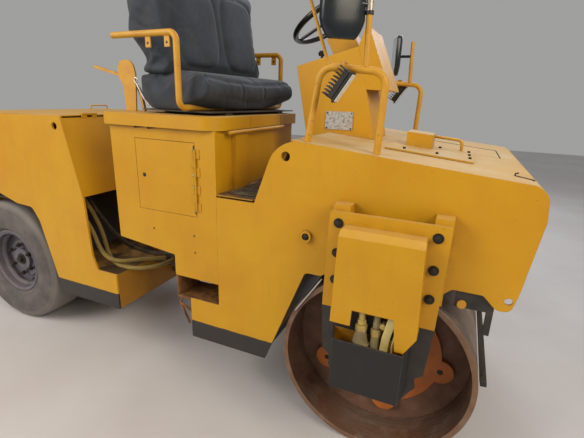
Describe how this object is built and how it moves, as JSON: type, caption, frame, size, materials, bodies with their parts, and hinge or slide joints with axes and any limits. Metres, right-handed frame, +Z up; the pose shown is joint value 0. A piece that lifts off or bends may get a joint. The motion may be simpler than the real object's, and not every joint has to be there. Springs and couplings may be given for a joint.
{
  "type": "articulated road roller with a steel drum and smooth tyres",
  "caption": "Ride-on articulated roller with a steel drum in front, smooth twin tyres behind, an open operator's seat and a steering pivot between the frames.",
  "frame": {"origin": "on the ground below the steering pivot, midway between the drum and tyre axles", "axes": "+X forward towards the drum, +Y to the machine's left, +Z up"},
  "size_m": [3.4996, 1.664, 2.1623],
  "materials": {
    "paint": "amber yellow enamel on sheet steel, dusty",
    "dark": "dark grey chassis paint",
    "steel": "rolled steel, worn and lightly rusted",
    "primer": "orange primer",
    "iron": "plain casting",
    "tyre": "smooth rubber, dusty",
    "rim": "grey wheel paint",
    "black_plastic": "moulded black plastic",
    "hose": "rubber hose with a woven sleeve",
    "fabric": "woven slate upholstery"
  },
  "bodies": {
    "front_frame": {"side_plate_right": "paint", "side_plate_left": "paint", "drain_tubes": "paint", "frame_crossmember": "paint", "footwell_floor": "paint", "hood_shell": "paint", "hood_cover": "paint", "operator_pedestal": "paint", "pedestal_top": "paint", "left_deck": "paint", "steps": "paint", "pivot_yoke": "paint", "pivot_pin": "steel", "drum_support_right": "paint", "drum_support_left": "paint", "drum_carriers": "dark", "front_scraper": "dark", "drum_motors": "dark", "motor_covers": "paint", "hose_guards": "dark", "console_box": "paint", "console_cover": "paint", "steering_column": "paint", "handrails": "paint", "work_lamps": "black_plastic", "mirror_stalks": "paint", "mirrors": "black_plastic", "seat_cushion": "fabric", "seat_back": "fabric", "seat_frame": "paint", "seat_base": "paint", "seat_lever": "black_plastic"},
    "rear_frame": {"pivot_knuckle": "paint", "rear_platform": "paint", "rear_side_plate_right": "paint", "rear_side_plate_left": "paint", "rear_front_wall": "paint", "rear_tail": "paint", "tail_lamps": "black_plastic", "rear_floor": "paint", "engine_block": "iron", "axle_column": "dark", "hose_blocks": "dark", "hose_long": "hose", "hose_near": "hose", "hose_dark": "hose"},
    "drum": {"drum_shell": "steel", "drum_heads": "dark", "drum_hubs": "primer"},
    "wheels_right": {"tyres_right": "tyre", "wheel_rims_right": "rim"},
    "wheels_left": {"tyres_left": "tyre", "wheel_rims_left": "rim"},
    "engine_lid": {"engine_lid": "paint"},
    "hood_hatch": {"hood_hatch": "paint"},
    "pedestal_door": {"pedestal_door": "paint"},
    "steering_wheel": {"steering_wheel": "black_plastic"},
    "steer_barrel": {"steer_barrel": "paint"},
    "steer_rod": {"steer_rod": "steel"}
  },
  "joints": [
    {"name": "steering", "type": "hinge", "parent": "front_frame", "child": "rear_frame", "pos_m": [0, 0, 0.445], "axis": [0, 0, 1], "range_deg": [-25, 25]},
    {"name": "drum_roll", "type": "hinge", "parent": "front_frame", "child": "drum", "pos_m": [1.235, 0, 0.425], "axis": [0, 1, 0], "continuous": true},
    {"name": "wheels_right_roll", "type": "hinge", "parent": "rear_frame", "child": "wheels_right", "pos_m": [-1.235, -0.3, 0.42], "axis": [0, 1, 0], "continuous": true},
    {"name": "wheels_left_roll", "type": "hinge", "parent": "rear_frame", "child": "wheels_left", "pos_m": [-1.235, 0.3, 0.42], "axis": [0, 1, 0], "continuous": true},
    {"name": "steer_barrel_swing", "type": "hinge", "parent": "rear_frame", "child": "steer_barrel", "pos_m": [-0.33, -0.2, 0.61], "axis": [0, 0, 1], "range_deg": [-11, 11]},
    {"name": "steer_rod_slide", "type": "slide", "parent": "steer_barrel", "child": "steer_rod", "axis": [1, 0, 0], "range_m": [-0.1, 0.1]},
    {"name": "engine_lid_hinge", "type": "hinge", "parent": "rear_frame", "child": "engine_lid", "pos_m": [-0.548, 0, 1.424], "axis": [0, 1, 0], "range_deg": [0, 60]},
    {"name": "hood_hatch_hinge", "type": "hinge", "parent": "front_frame", "child": "hood_hatch", "pos_m": [1.213, 0, 1.35725], "axis": [0, -1, 0], "range_deg": [0, 80]},
    {"name": "pedestal_door_hinge", "type": "hinge", "parent": "front_frame", "child": "pedestal_door", "pos_m": [0.356, -0.656, 1.1675], "axis": [0, 0, 1], "range_deg": [0, 110]},
    {"name": "steering_wheel_turn", "type": "hinge", "parent": "front_frame", "child": "steering_wheel", "pos_m": [0.76, 0, 1.95], "axis": [-0.5, 0, 0.866], "continuous": true}
  ],
  "couplings": [
    {"joint": "steer_barrel_swing", "follows": "steering", "ratio": -0.395},
    {"joint": "steer_rod_slide", "follows": "steering", "m_per_rad": -0.198}
  ]
}
